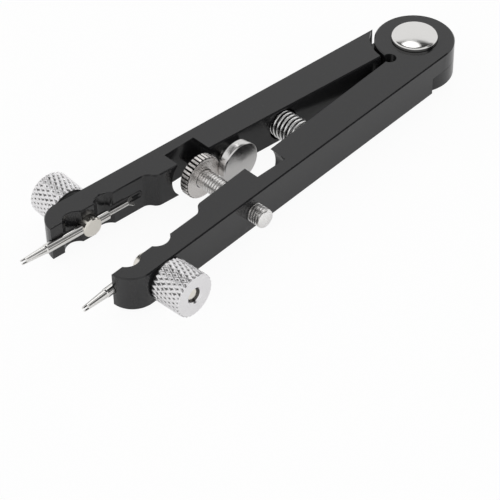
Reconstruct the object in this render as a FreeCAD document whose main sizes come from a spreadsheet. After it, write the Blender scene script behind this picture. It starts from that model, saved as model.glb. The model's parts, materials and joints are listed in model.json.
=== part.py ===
import FreeCAD, Part
import math
import os
import Sketcher

# Spring bar pliers: two black arms that cross in a half lap at the rear pivot, a coil spring
# that pushes them apart, a knurled wheel and a smooth disc on cross studs that stop them, and
# at each nose a fork tip held by a cross-drilled stud and a knurled thumb nut.
#
# Frame, in millimetres: the pivot is the Z axis, z = 0 is the underside of the arms, the tips
# point along -Y and the right arm lies on the +X side. Both arms are drawn fully open.
# Arm coordinates: "along" runs from the pivot to the tip, "out" runs away from the other arm.

DOC = FreeCAD.newDocument("spring_bar_pliers")
SHEET = DOC.addObject("Spreadsheet::Sheet", "dims")

CELLS = [
    ("arm_angle", 3.4766, "half angle between the arms' outer faces, degrees"),
    ("thickness", 10.0, "thickness of an arm"),
    ("knuckle_rad", 10.5, "pivot knuckle, and outer face from the pivot line"),
    ("lap_cut_rad", 11.7, "round shoulder that clears the other knuckle"),
    ("lap_play", 0.05, "play on each side of the lap"),
    ("edge_break", 0.3, "chamfer round the arms' flat faces"),
    ("root_out", 0.0855, "inner face at the pivot"),
    ("step_low_along", 83.5, "rear end of the step to the jaw"),
    ("step_low_out", 1.98, "inner face just behind the step"),
    ("step_high_along", 87.6, "front end of the step to the jaw"),
    ("jaw_out", 4.3, "inner face of the jaw"),
    ("rear_scallop_low", 96.4, "rear end of the rear scallop"),
    ("rear_scallop_high", 102.3, "front end of the rear scallop"),
    ("rear_scallop_rad", 3.45, "radius of the rear scallop"),
    ("land_out", 4.15, "land between the scallops"),
    ("front_scallop_low", 106.2, "rear end of the front scallop"),
    ("front_scallop_high", 111.9, "front end of the front scallop"),
    ("front_scallop_rad", 3.3, "radius of the front scallop"),
    ("nose_out", 3.9, "inner face at the nose"),
    ("nose_rad", 6.2, "round of the nose"),
    ("nose_centre_along", 109.2, "centre of the nose round"),
    ("relief_rad", 1.8, "round relief at the right arm's root"),
    ("relief_along", 10.7, "centre of the root relief"),
    ("relief_out", 0.4, "centre of the root relief"),
    ("pivot_rad", 3.0, "shoulder of the pivot screw"),
    ("pivot_head_rad", 6.05, "head of the pivot screw"),
    ("pivot_head_rim", 1.65, "height of the head's rim"),
    ("pivot_head_dome", 0.65, "height of the head's dome"),
    ("pivot_head_seat", 0.5, "depth of the head's seat in the arm"),
    ("pivot_head_gap", 0.15, "gap round the head in its seat"),
    ("pivot_thread_rad", 2.0, "thread of the pivot screw"),
    ("pivot_nut_rad", 5.2, "slotted nut under the pivot"),
    ("pivot_nut_high", 1.9, "height of the slotted nut"),
    ("pivot_nut_slot", 1.2, "width of the nut's slots"),
    ("pivot_nut_slot_deep", 0.7, "depth of the nut's slots"),
    ("pivot_nut_hub_rad", 3.0, "ring inside the nut's slots"),
    ("pivot_washer_rad", 5.0, "washer between nut and arm"),
    ("pivot_washer_high", 0.25, "thickness of that washer"),
    ("nut_seat_rad", 5.5, "seat of the nut in the left arm"),
    ("nut_seat_high", 2.2, "depth of the nut's seat"),
    ("bush_rad", 4.0, "outside of the pivot bush"),
    ("play", 0.03, "radial play of a turning or sliding fit"),
    ("stop_rad", 5.75, "outside of the knurled wheel and of the smooth disc"),
    ("stop_chamfer", 0.3, "chamfer of the wheel and disc"),
    ("stop_bore_high", 2.0, "depth of the stud's hole in wheel and disc"),
    ("stud_rad", 2.5, "cross studs, M5"),
    ("wheel_along", 73.0, "distance of the wheel's axis from the pivot"),
    ("wheel_face", 2.75, "wheel's front face, to the left of the middle"),
    ("wheel_thick", 2.65, "thickness of the knurled wheel"),
    ("wheel_stud_end", 18.8, "end of the wheel's stud, to the right of the middle"),
    ("stud_dome", 0.6, "dome at the stud's end"),
    ("driver_slot", 0.8, "width of the screwdriver slot in the disc's stud"),
    ("driver_slot_deep", 0.9, "depth of that slot"),
    ("wheel_seat_rad", 6.95, "round recess that takes the wheel in the left arm"),
    ("wheel_seat_floor", 11.6, "floor of that recess, to the left of the middle"),
    ("disc_along", 62.7, "distance of the disc's axis from the pivot"),
    ("disc_face", 0.3, "disc's front face, to the left of the middle"),
    ("disc_thick", 2.4, "thickness of the smooth disc"),
    ("disc_stud_end", 13.7, "end of the disc's stud, to the left of the middle"),
    ("disc_seat_rad", 6.9, "round recess that takes the disc in the right arm"),
    ("disc_seat_floor", 10.4, "floor of that recess, to the right of the middle"),
    ("spring_along", 44.6, "distance of the opening spring from the pivot"),
    ("spring_rad", 3.85, "outside of the opening spring"),
    ("spring_wire", 0.75, "wire of the opening spring"),
    ("spring_turns", 13, "turns of the opening spring"),
    ("spring_seat_rad", 4.4, "blind hole that holds an end of the spring"),
    ("spring_seat_floor", 8.0, "floor of that hole from the middle"),
    ("clamp_along", 104.4, "clamp axis from the pivot"),
    ("head_face", 2.0, "inner face of the clamp stud's head"),
    ("head_rad", 2.65, "clamp stud's head"),
    ("head_long", 4.6, "length of the head"),
    ("head_chamfer", 0.3, "chamfer of the head"),
    ("head_bore_rad", 2.75, "hole for the head in the arm"),
    ("head_bore_floor", 8.6, "floor of the head's hole"),
    ("draw_rad", 1.5, "clamp stud's thread, M3"),
    ("draw_end", 19.35, "outer end of the clamp stud"),
    ("draw_dome", 0.4, "dome at the clamp stud's end"),
    ("tip_out", 3.75, "axis of the fork tip"),
    ("tip_rad", 1.2, "shank of the fork tip"),
    ("tip_hole_rad", 1.25, "cross hole in the clamp stud"),
    ("groove_rad", 1.3, "round groove in the jaw that the tip lies in"),
    ("groove_start", 88.8, "rear end of the groove"),
    ("washer_rad", 4.9, "black washer under the thumb nut"),
    ("washer_high", 0.65, "thickness of that washer"),
    ("thumb_rad", 5.75, "knurled thumb nut"),
    ("thumb_long", 8.55, "length of the thumb nut"),
    ("thumb_gap", 0.05, "gap between washer and thumb nut"),
    ("thumb_chamfer", 0.35, "chamfer of the thumb nut"),
    ("countersink_rad", 2.3, "countersink in the thumb nut's outer face"),
    ("coil_rad", 2.2, "outside of the clamp spring"),
    ("coil_wire", 0.5, "wire of the clamp spring"),
    ("coil_turns", 2.5, "turns of the clamp spring"),
    ("tip_start", 91.3, "rear end of the fork tip"),
    ("rear_fork_long", 1.5, "flared rear fork"),
    ("flare_edge", 0.5, "straight edge of the flare"),
    ("neck_rad", 0.58, "rear neck of the tip"),
    ("shank_start", 98.8, "rear end of the shank"),
    ("shank_end", 117.4, "front end of the shank"),
    ("shoulder", 0.3, "bevel between the shank and the front fork"),
    ("front_fork_rad", 1.05, "root of the front fork"),
    ("front_fork_end", 0.66, "end of the front fork"),
    ("tip_end", 124.5, "front end of the fork tip"),
    ("fork_slot", 0.4, "gap between the prongs"),
    ("front_slot_deep", 1.4, "depth of the front fork's gap"),
    ("front_flat", 1.1, "length of the flats on the front fork"),
    ("front_thick", 0.9, "thickness of the front prongs"),
    ("rear_slot_deep", 0.9, "depth of the rear fork's gap"),
    ("rear_thick", 0.66, "thickness of the rear prongs"),
    ("fork_roll", 45.0, "roll of the forks about the tip's axis, degrees"),
    ("overrun", 1.0, "how far a cutting tool runs past the face it opens"),
]


class Size:
    """A number together with the spreadsheet expression that it comes from."""

    def __init__(self, value, text):
        self.value = float(value)
        self.text = text

    def __add__(self, other):
        other = as_size(other)
        return Size(self.value + other.value, f"({self.text} + {other.text})")

    def __radd__(self, other):
        return as_size(other) + self

    def __sub__(self, other):
        other = as_size(other)
        return Size(self.value - other.value, f"({self.text} - {other.text})")

    def __rsub__(self, other):
        return as_size(other) - self

    def __mul__(self, other):
        other = as_size(other)
        return Size(self.value * other.value, f"({self.text} * {other.text})")

    def __rmul__(self, other):
        return as_size(other) * self

    def __truediv__(self, other):
        other = as_size(other)
        return Size(self.value / other.value, f"({self.text} / {other.text})")

    def __neg__(self):
        return 0 - self


def as_size(number):
    """Wraps a plain number as a Size."""
    if isinstance(number, Size):
        return number
    return Size(number, f"({number})")


def fill_sheet():
    """Writes the driving dimensions to the sheet and returns them as Sizes by name."""
    sizes = {}
    for row, (alias, value, note) in enumerate(CELLS, start=1):
        SHEET.set(f"A{row}", alias)
        SHEET.set(f"B{row}", str(value))
        SHEET.set(f"C{row}", note)
        SHEET.setAlias(f"B{row}", alias)
        sizes[alias] = Size(value, f"dims.{alias}")
    DOC.recompute()
    return sizes


D = fill_sheet()
ANGLE = math.radians(D["arm_angle"].value)
SIN = Size(math.sin(ANGLE), "sin(dims.arm_angle * 1 deg)")
COS = Size(math.cos(ANGLE), "cos(dims.arm_angle * 1 deg)")
MIDDLE = D["thickness"] / 2
OVER = D["overrun"]
X_AXIS = FreeCAD.Vector(1, 0, 0)
Y_AXIS = FreeCAD.Vector(0, 1, 0)
Z_AXIS = FreeCAD.Vector(0, 0, 1)
RIGHT = 1
LEFT = -1
SIDE_NAMES = {RIGHT: "right", LEFT: "left"}
TINY = 1e-6
NEARLY_ONE = 0.99


def turn(axis, degrees):
    """A rotation about an axis."""
    return FreeCAD.Rotation(axis, degrees)


def arm_point(side, along, out):
    """World x and y of a point given in an arm's own coordinates."""
    return side * (along * SIN + out * COS), out * SIN - along * COS


def outward(side):
    """Rotation that turns +X to an arm's outward direction."""
    degrees = D["arm_angle"].value
    return turn(Z_AXIS, degrees if side == RIGHT else 180 - degrees)


def towards_tip(side):
    """Rotation that turns +X to an arm's direction from pivot to tip."""
    return turn(Z_AXIS, side * D["arm_angle"].value - 90)


def place(thing, x, y, z, rotation=None):
    """Puts an object at a bound position, with an optional rotation."""
    spot = FreeCAD.Vector(as_size(x).value, as_size(y).value, as_size(z).value)
    thing.Placement = FreeCAD.Placement(spot, rotation or FreeCAD.Rotation())
    for letter, size in (("x", x), ("y", y), ("z", z)):
        thing.setExpression(f"Placement.Base.{letter}", as_size(size).text)
    return thing


def bind(thing, **sizes):
    """Binds properties of an object to sheet expressions."""
    for name, size in sizes.items():
        thing.setExpression(name, as_size(size).text)
    return thing


def cylinder(name, radius, length, x, y, z, rotation=None):
    """A cylinder that starts at a point and runs along its local Z."""
    thing = DOC.addObject("Part::Cylinder", name)
    bind(thing, Radius=radius, Height=length)
    return place(thing, x, y, z, rotation)


def box(name, long, wide, high, x, y, z, rotation=None):
    """A box with one corner at a point."""
    thing = DOC.addObject("Part::Box", name)
    bind(thing, Length=long, Width=wide, Height=high)
    return place(thing, x, y, z, rotation)


def cut(name, base, tools):
    """A base with tools taken away."""
    if len(tools) > 1:
        group = DOC.addObject("Part::MultiFuse", name + "_tools")
        group.Shapes = tools
    else:
        group = tools[0]
    thing = DOC.addObject("Part::Cut", name)
    thing.Base = base
    thing.Tool = group
    return thing


def origin_plane(body, role):
    """One of a body's own origin planes."""
    for feature in body.Origin.OriginFeatures:
        if feature.Role == role:
            return feature
    raise ValueError(role)


def arc_middle(start, end, radius, left):
    """Middle point of the short arc between two points."""
    chord = end - start
    half = chord.Length / 2
    rise = radius - math.sqrt(radius * radius - half * half)
    normal = FreeCAD.Vector(-chord.y, chord.x, 0).normalize()
    return (start + end) / 2 + normal * (rise if left else -rise)


def pin_point(sketch, shape, end, x, y):
    """Fixes a point of the sketch with distances bound to the sheet."""
    for kind, axis, size in (("DistanceX", -2, as_size(x)), ("DistanceY", -1, as_size(y))):
        if abs(size.value) < TINY:
            sketch.addConstraint(Sketcher.Constraint("PointOnObject", shape, end, axis))
            continue
        index = sketch.addConstraint(Sketcher.Constraint(kind, -1, 1, shape, end, size.value))
        sketch.setExpression(f"Constraints[{index}]", size.text)


def draw(sketch, outline):
    """Draws a closed outline.

    Each corner is (x, y), reached by a line, or (x, y, radius, left), reached by an arc that
    bows to the left or right of the way there.
    """
    corners = [FreeCAD.Vector(as_size(c[0]).value, as_size(c[1]).value, 0) for c in outline]
    ends = []
    for index, corner in enumerate(outline):
        start, end = corners[index - 1], corners[index]
        if len(corner) == 2:
            shape = sketch.addGeometry(Part.LineSegment(start, end), False)
            first, last = 1, 2
        else:
            radius, left = corner[2], corner[3]
            middle = arc_middle(start, end, radius.value, left)
            shape = sketch.addGeometry(Part.Arc(start, middle, end), False)
            swapped = sketch.getPoint(shape, 1).distanceToPoint(start) > TINY
            first, last = (2, 1) if swapped else (1, 2)
            index_radius = sketch.addConstraint(Sketcher.Constraint("Radius", shape, radius.value))
            sketch.setExpression(f"Constraints[{index_radius}]", radius.text)
        ends.append((shape, first, last))
    for index, (shape, first, last) in enumerate(ends):
        before, _, before_last = ends[index - 1]
        sketch.addConstraint(Sketcher.Constraint("Coincident", before, before_last, shape, first))
        pin_point(sketch, shape, last, outline[index][0], outline[index][1])


def new_sketch(body, name):
    """A sketch on a body's XY plane."""
    sketch = body.newObject("Sketcher::SketchObject", name)
    sketch.AttachmentSupport = (origin_plane(body, "XY_Plane"), [""])
    sketch.MapMode = "FlatFace"
    return sketch


def turned(name, outline):
    """A turned piece: an (along, radius) outline revolved about the local X axis."""
    body = DOC.addObject("PartDesign::Body", name)
    sketch = new_sketch(body, name + "_profile")
    draw(sketch, outline)
    revolution = body.newObject("PartDesign::Revolution", name + "_turning")
    revolution.Profile = sketch
    revolution.ReferenceAxis = (sketch, ["H_Axis"])
    revolution.Angle = 360
    return body


def dome_radius(rim, rise):
    """Radius of a dome with a given rim radius and rise."""
    return (rim * rim + rise * rise) / (2 * rise)


def coil(name, radius, wire, turns, length):
    """A coil spring along the local Z axis, from the sheet's numbers."""
    middle = radius.value - wire.value / 2
    reach = length.value - wire.value
    helix = Part.makeLongHelix(reach / turns.value, reach, middle)
    circle = Part.makeCircle(wire.value / 2, FreeCAD.Vector(middle, 0, 0), Y_AXIS)
    sweep = Part.BRepOffsetAPI.MakePipeShell(Part.Wire(helix.Edges))
    sweep.setFrenetMode(True)
    sweep.add(Part.Wire(circle))
    sweep.build()
    sweep.makeSolid()
    thing = DOC.addObject("Part::Feature", name)
    thing.Shape = sweep.shape()
    return thing


def arm_blank(side):
    """An arm's outline padded to its thickness, with the knuckle and broken edges."""
    name = SIDE_NAMES[side] + "_arm_blank"
    body = DOC.addObject("PartDesign::Body", name)
    outline = new_sketch(body, name + "_outline")
    step_rise = (D["jaw_out"] - D["step_low_out"]) / 2
    step_run = (D["step_high_along"] - D["step_low_along"]) / 2
    step_rad = dome_radius(step_run, step_rise)
    step_mid_out = D["step_low_out"] + step_rise
    step_mid_along = D["step_low_along"] + step_run
    nose_centre_out = D["knuckle_rad"] - D["nose_rad"]
    nose_end = D["nose_centre_along"] + D["nose_rad"]
    draw(outline, [
        (0, 0),
        (D["knuckle_rad"], 0),
        (D["knuckle_rad"], D["nose_centre_along"]),
        (nose_centre_out, nose_end, D["nose_rad"], False),
        (D["nose_out"], nose_end),
        (D["nose_out"], D["front_scallop_high"]),
        (D["land_out"], D["front_scallop_low"], D["front_scallop_rad"], True),
        (D["land_out"], D["rear_scallop_high"]),
        (D["jaw_out"], D["rear_scallop_low"], D["rear_scallop_rad"], True),
        (D["jaw_out"], D["step_high_along"]),
        (step_mid_out, step_mid_along, step_rad, True),
        (D["step_low_out"], D["step_low_along"], step_rad, False),
        (D["root_out"], 0),
    ])
    pad = body.newObject("PartDesign::Pad", name + "_pad")
    pad.Profile = outline
    bind(pad, Length=D["thickness"])
    round_end = new_sketch(body, name + "_knuckle")
    knuckle_rad = D["knuckle_rad"].value
    circle = round_end.addGeometry(
        Part.Circle(FreeCAD.Vector(0, 0, 0), Z_AXIS, knuckle_rad), False)
    round_end.addConstraint(Sketcher.Constraint("Coincident", circle, 3, -1, 1))
    radius = round_end.addConstraint(Sketcher.Constraint("Radius", circle, knuckle_rad))
    round_end.setExpression(f"Constraints[{radius}]", D["knuckle_rad"].text)
    knuckle = body.newObject("PartDesign::Pad", name + "_knuckle_pad")
    knuckle.Profile = round_end
    bind(knuckle, Length=D["thickness"])
    DOC.recompute()
    faces = [
        f"Face{index}" for index, face in enumerate(knuckle.Shape.Faces, start=1)
        if abs(face.normalAt(0, 0).z) > NEARLY_ONE
    ]
    edges = body.newObject("PartDesign::Chamfer", name + "_edges")
    edges.Base = (knuckle, faces)
    bind(edges, Size=D["edge_break"])
    tilt = side * D["arm_angle"].value
    if side == RIGHT:
        flip = turn(Z_AXIS, tilt) * turn(X_AXIS, 180)
        return place(body, 0, 0, D["thickness"], flip)
    return place(body, 0, 0, 0, turn(Z_AXIS, 180 + tilt))


def clamp_cuts(side):
    """Tools for the jaw: groove for the tip, hole for the stud's head, hole for its thread."""
    name = SIDE_NAMES[side]
    reach = D["nose_centre_along"] + D["nose_rad"] + OVER - D["groove_start"]
    x, y = arm_point(side, D["groove_start"], D["tip_out"])
    lie = towards_tip(side) * turn(Y_AXIS, 90)
    groove = cylinder(name + "_groove", D["groove_rad"], reach, x, y, MIDDLE, lie)
    end = DOC.addObject("Part::Sphere", name + "_groove_end")
    bind(end, Radius=D["groove_rad"])
    place(end, x, y, MIDDLE)
    mouth_out = D["tip_out"] if side == LEFT else as_size(0)
    x, y = arm_point(side, D["groove_start"], mouth_out)
    mouth = box(
        name + "_groove_mouth", reach, D["tip_out"], 2 * D["groove_rad"],
        x, y, MIDDLE - D["groove_rad"], towards_tip(side))
    stand = outward(side) * turn(Y_AXIS, 90)
    x, y = arm_point(side, D["clamp_along"], as_size(0))
    head = cylinder(
        name + "_head_bore", D["head_bore_rad"], D["head_bore_floor"], x, y, MIDDLE, stand)
    thread = cylinder(
        name + "_draw_bore", D["draw_rad"] + D["play"], D["knuckle_rad"] + OVER, x, y, MIDDLE,
        stand)
    return [groove, end, mouth, head, thread]


def cross_hole(name, side, radius, along, start, floor):
    """A hole square to the middle plane, from one distance to another on one side."""
    lie = turn(Y_AXIS, 90 * side)
    return cylinder(name, radius, floor - start, side * start, -along, MIDDLE, lie)


def make_arms():
    """The two arms, with their laps, holes and recesses."""
    tall = D["thickness"] + 2 * OVER
    lap = MIDDLE + D["lap_play"]
    relief_x, relief_y = arm_point(RIGHT, D["relief_along"], D["relief_out"])
    far = D["knuckle_rad"] * 2
    seat_z = D["thickness"] - D["pivot_head_seat"]
    right_tools = clamp_cuts(RIGHT) + [
        cylinder("right_lap", D["lap_cut_rad"], lap + OVER, 0, 0, -OVER),
        cylinder("right_relief", D["relief_rad"], tall, relief_x, relief_y, -OVER),
        cylinder("right_pivot_bore", D["pivot_rad"], tall, 0, 0, -OVER),
        cylinder("right_head_seat", D["pivot_head_rad"] + D["pivot_head_gap"],
                 D["pivot_head_seat"] + OVER, 0, 0, seat_z),
        cross_hole("right_spring_seat", RIGHT, D["spring_seat_rad"], D["spring_along"],
                   as_size(0), D["spring_seat_floor"]),
        cross_hole("disc_seat", RIGHT, D["disc_seat_rad"], D["disc_along"],
                   as_size(0), D["disc_seat_floor"]),
        cross_hole("wheel_stud_bore", RIGHT, D["stud_rad"] + D["play"], D["wheel_along"],
                   as_size(0), far),
    ]
    left_tools = clamp_cuts(LEFT) + [
        cylinder("left_lap", D["lap_cut_rad"], lap + OVER, 0, 0, MIDDLE - D["lap_play"]),
        cylinder("left_bush_bore", D["bush_rad"], tall, 0, 0, -OVER),
        cylinder("left_nut_seat", D["nut_seat_rad"], D["nut_seat_high"] + OVER, 0, 0, -OVER),
        cross_hole("left_spring_seat", LEFT, D["spring_seat_rad"], D["spring_along"],
                   as_size(0), D["spring_seat_floor"]),
        cross_hole("wheel_seat", LEFT, D["wheel_seat_rad"], D["wheel_along"],
                   as_size(0), D["wheel_seat_floor"]),
        cross_hole("disc_stud_bore", LEFT, D["stud_rad"] + D["play"], D["disc_along"],
                   as_size(0), far),
    ]
    return [
        cut("right_arm", arm_blank(RIGHT), right_tools),
        cut("left_arm", arm_blank(LEFT), left_tools),
    ]


def make_pivot():
    """The pivot screw, its nut and washer, and the bush in the left arm."""
    upright = turn(Y_AXIS, -90)
    seat = D["thickness"] - D["pivot_head_seat"]
    rim_top = seat + D["pivot_head_rim"]
    top = rim_top + D["pivot_head_dome"]
    rim = D["pivot_head_rad"]
    screw = turned("pivot_screw", [
        (0, 0),
        (0, D["pivot_thread_rad"]),
        (D["pivot_nut_high"], D["pivot_thread_rad"]),
        (D["pivot_nut_high"], D["pivot_rad"]),
        (seat, D["pivot_rad"]),
        (seat, rim),
        (rim_top, rim),
        (top, 0, dome_radius(rim, D["pivot_head_dome"]), True),
    ])
    nut_blank = turned("pivot_nut_blank", [
        (0, D["pivot_thread_rad"]),
        (0, D["pivot_nut_rad"]),
        (D["pivot_nut_high"], D["pivot_nut_rad"]),
        (D["pivot_nut_high"], D["pivot_thread_rad"]),
    ])
    place(nut_blank, 0, 0, 0, upright)
    slot = D["pivot_nut_slot"]
    slot_high = D["pivot_nut_slot_deep"] + OVER
    slot_long = 2 * (D["pivot_nut_rad"] + OVER)
    bar = box("pivot_nut_slot_bar", slot_long, slot, slot_high, -slot_long / 2, -slot / 2, -OVER)
    hub = cylinder("pivot_nut_hub", D["pivot_nut_hub_rad"], slot_high + 2 * OVER, 0, 0, -2 * OVER)
    slots = cut("pivot_nut_slots", bar, [hub])
    nut = cut("pivot_nut", nut_blank, [slots])
    gap = (D["nut_seat_high"] - D["pivot_nut_high"] - D["pivot_washer_high"]) / 2
    washer = turned("pivot_washer", [
        (0, D["pivot_rad"] + D["play"]),
        (0, D["pivot_washer_rad"]),
        (D["pivot_washer_high"], D["pivot_washer_rad"]),
        (D["pivot_washer_high"], D["pivot_rad"] + D["play"]),
    ])
    bush_long = MIDDLE - D["lap_play"] - D["nut_seat_high"]
    bush = turned("pivot_bush", [
        (0, D["pivot_rad"] + D["play"]),
        (0, D["bush_rad"]),
        (bush_long, D["bush_rad"]),
        (bush_long, D["pivot_rad"] + D["play"]),
    ])
    place(screw, 0, 0, 0, upright)
    place(washer, 0, 0, D["pivot_nut_high"] + gap, upright)
    place(bush, 0, 0, D["nut_seat_high"], upright)
    return [screw, nut, washer, bush]


def stop_blank(name, thick):
    """A round stop with a blind hole for its stud, front face at the local origin."""
    rad, edge = D["stop_rad"], D["stop_chamfer"]
    bore, deep = D["stud_rad"] + D["play"], D["stop_bore_high"]
    return turned(name, [
        (0, bore),
        (0, rad - edge),
        (edge, rad),
        (thick - edge, rad),
        (thick, rad - edge),
        (thick, 0),
        (deep, 0),
        (deep, bore),
    ])


def stud_blank(name, length, dome):
    """A plain stud with a domed outer end."""
    rad = D["stud_rad"]
    return turned(name, [
        (0, 0),
        (0, rad),
        (length, rad),
        (length + dome, 0, dome_radius(rad, dome), True),
    ])


def make_stops():
    """The knurled wheel and the smooth disc on their cross studs, the disc's one slotted."""
    end_play = D["play"]
    wheel = stop_blank("knurled_wheel", D["wheel_thick"])
    place(wheel, -D["wheel_face"], -D["wheel_along"], MIDDLE, turn(Z_AXIS, 180))
    stud_start = D["stop_bore_high"] - end_play + D["wheel_face"]
    length = D["wheel_stud_end"] + stud_start
    wheel_stud = stud_blank("wheel_stud", length, D["stud_dome"])
    place(wheel_stud, -stud_start, -D["wheel_along"], MIDDLE)
    disc = stop_blank("smooth_disc", D["disc_thick"])
    place(disc, -(D["disc_face"] + D["disc_thick"]), -D["disc_along"], MIDDLE)
    disc_start = D["disc_face"] + D["disc_thick"] - D["stop_bore_high"] + end_play
    length = D["disc_stud_end"] - disc_start
    blank = stud_blank("disc_stud_blank", length - D["stud_dome"], D["stud_dome"])
    wide, deep, tall = D["driver_slot"], D["driver_slot_deep"], 2 * (D["stud_rad"] + OVER)
    slot = box("disc_stud_slot", deep + OVER, wide, tall, length - deep, -wide / 2, -tall / 2)
    disc_stud = cut("disc_stud", blank, [slot])
    place(disc_stud, -disc_start, -D["disc_along"], MIDDLE, turn(Z_AXIS, 180))
    return [wheel, wheel_stud, disc, disc_stud]


def make_opening_spring():
    """The coil spring that pushes the arms apart."""
    end_play = D["play"]
    length = 2 * (D["spring_seat_floor"] - end_play)
    spring = coil(
        "opening_spring", D["spring_rad"], D["spring_wire"], D["spring_turns"], length)
    start = length.value / 2 - D["spring_wire"].value / 2
    spot = FreeCAD.Vector(-start, -D["spring_along"].value, MIDDLE.value)
    spring.Placement = FreeCAD.Placement(spot, turn(Y_AXIS, 90))
    return [spring]


def flats(name, start, length, thick):
    """Two bars along X that leave a blade of that thickness between them."""
    wide = 4 * D["tip_rad"]
    return [
        box(name + "_upper_flat", length, wide, wide, start, -wide / 2, thick / 2),
        box(name + "_lower_flat", length, wide, wide, start, -wide / 2, -thick / 2 - wide),
    ]


def make_tip(side):
    """A double-ended fork tip, local X from its rear end to its front end."""
    name = SIDE_NAMES[side] + "_tip"
    start, fork = D["tip_start"], D["rear_fork_long"]
    long = D["tip_end"] - start
    shank_start, shank_end = D["shank_start"] - start, D["shank_end"] - start
    blank = turned(name + "_blank", [
        (0, 0),
        (0, D["tip_rad"]),
        (D["flare_edge"], D["tip_rad"]),
        (fork, D["neck_rad"]),
        (shank_start, D["neck_rad"]),
        (shank_start, D["tip_rad"]),
        (shank_end, D["tip_rad"]),
        (shank_end + D["shoulder"], D["front_fork_rad"]),
        (long, D["front_fork_end"]),
        (long, 0),
    ])
    gap, wide = D["fork_slot"], 4 * D["tip_rad"]
    front, rear = D["front_slot_deep"], D["rear_slot_deep"]
    tools = [
        box(name + "_front_gap", front + OVER, gap, wide, long - front, -gap / 2, -wide / 2),
        box(name + "_rear_gap", rear + OVER, gap, wide, -OVER, -gap / 2, -wide / 2),
        *flats(name + "_front", long - D["front_flat"], D["front_flat"] + OVER, D["front_thick"]),
        *flats(name + "_rear", -OVER, fork + OVER, D["rear_thick"]),
    ]
    tip = cut(name, blank, tools)
    x, y = arm_point(side, start, D["tip_out"])
    return place(tip, x, y, MIDDLE, towards_tip(side) * turn(X_AXIS, D["fork_roll"].value))


def make_clamp(side):
    """The tip's clamp on one arm: cross-drilled stud, spring, washer and thumb nut."""
    name = SIDE_NAMES[side]
    face, along = D["head_face"], D["clamp_along"]
    dome, edge = D["draw_dome"], D["head_chamfer"]
    head_end = D["head_long"]
    end = D["draw_end"] - face
    blank = turned(name + "_clamp_stud_blank", [
        (0, 0),
        (0, D["head_rad"] - edge),
        (edge, D["head_rad"]),
        (head_end, D["head_rad"]),
        (head_end, D["draw_rad"]),
        (end - dome, D["draw_rad"]),
        (end, 0, dome_radius(D["draw_rad"], dome), True),
    ])
    reach = 2 * (D["head_rad"] + OVER)
    hole = cylinder(
        name + "_tip_hole", D["tip_hole_rad"], reach, D["tip_out"] - face, reach / 2, 0,
        turn(X_AXIS, 90))
    stud = cut(name + "_clamp_stud", blank, [hole])
    x, y = arm_point(side, along, face)
    place(stud, x, y, MIDDLE, outward(side))

    bore = D["draw_rad"] + D["play"]
    washer = turned(name + "_clamp_washer", [
        (0, bore),
        (0, D["washer_rad"]),
        (D["washer_high"], D["washer_rad"]),
        (D["washer_high"], bore),
    ])
    x, y = arm_point(side, along, D["knuckle_rad"])
    place(washer, x, y, MIDDLE, outward(side))

    rad, long, edge = D["thumb_rad"], D["thumb_long"], D["thumb_chamfer"]
    sink = D["countersink_rad"]
    thumb = turned(name + "_thumb_nut", [
        (0, bore),
        (0, rad - edge),
        (edge, rad),
        (long - edge, rad),
        (long, rad - edge),
        (long, sink),
        (long - (sink - bore), bore),
    ])
    x, y = arm_point(side, along, D["knuckle_rad"] + D["washer_high"] + D["thumb_gap"])
    place(thumb, x, y, MIDDLE, outward(side))

    room = D["head_bore_floor"] - face - head_end
    spring = coil(name + "_clamp_spring", D["coil_rad"], D["coil_wire"], D["coil_turns"],
                  room - 2 * D["play"])
    low = face + head_end + D["play"] + D["coil_wire"] / 2
    x, y = arm_point(side, along, low)
    spot = FreeCAD.Vector(x.value, y.value, MIDDLE.value)
    spring.Placement = FreeCAD.Placement(spot, outward(side) * turn(Y_AXIS, 90))
    return [stud, washer, thumb, spring]


def check(pieces):
    """Stops if any object failed to build, or a piece has no valid solid."""
    for thing in DOC.Objects:
        if "Invalid" in thing.State or "Error" in thing.State:
            raise RuntimeError(f"{thing.Name} failed: {thing.State}")
    for piece in pieces:
        if piece.Shape.isNull() or not piece.Shape.isValid() or not piece.Shape.Solids:
            raise RuntimeError(f"{piece.Label} has no valid solid")


def main():
    """Builds every piece, checks it and writes it to parts/."""
    pieces = make_arms() + make_pivot() + make_stops() + make_opening_spring()
    for side in (RIGHT, LEFT):
        pieces.extend(make_clamp(side))
        pieces.append(make_tip(side))
    DOC.recompute()
    check(pieces)
    os.makedirs("parts", exist_ok=True)
    for piece in pieces:
        piece.Shape.exportStep(os.path.join("parts", piece.Label + ".step"))
        size = piece.Shape.BoundBox
        print(f"{piece.Label:20s} solids {len(piece.Shape.Solids)} volume {piece.Shape.Volume:9.2f}"
              f"  x {size.XMin:7.2f} {size.XMax:7.2f}  y {size.YMin:7.2f} {size.YMax:7.2f}"
              f"  z {size.ZMin:6.2f} {size.ZMax:6.2f}")


main()
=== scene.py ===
"""Watch spring bar pliers: two black arms on a lap pivot, two stops and two clamped fork tips."""

import json
import logging
import math
from dataclasses import dataclass
from enum import Enum
from functools import cache

import bmesh
import bpy
from mathutils import Matrix, Vector


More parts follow.
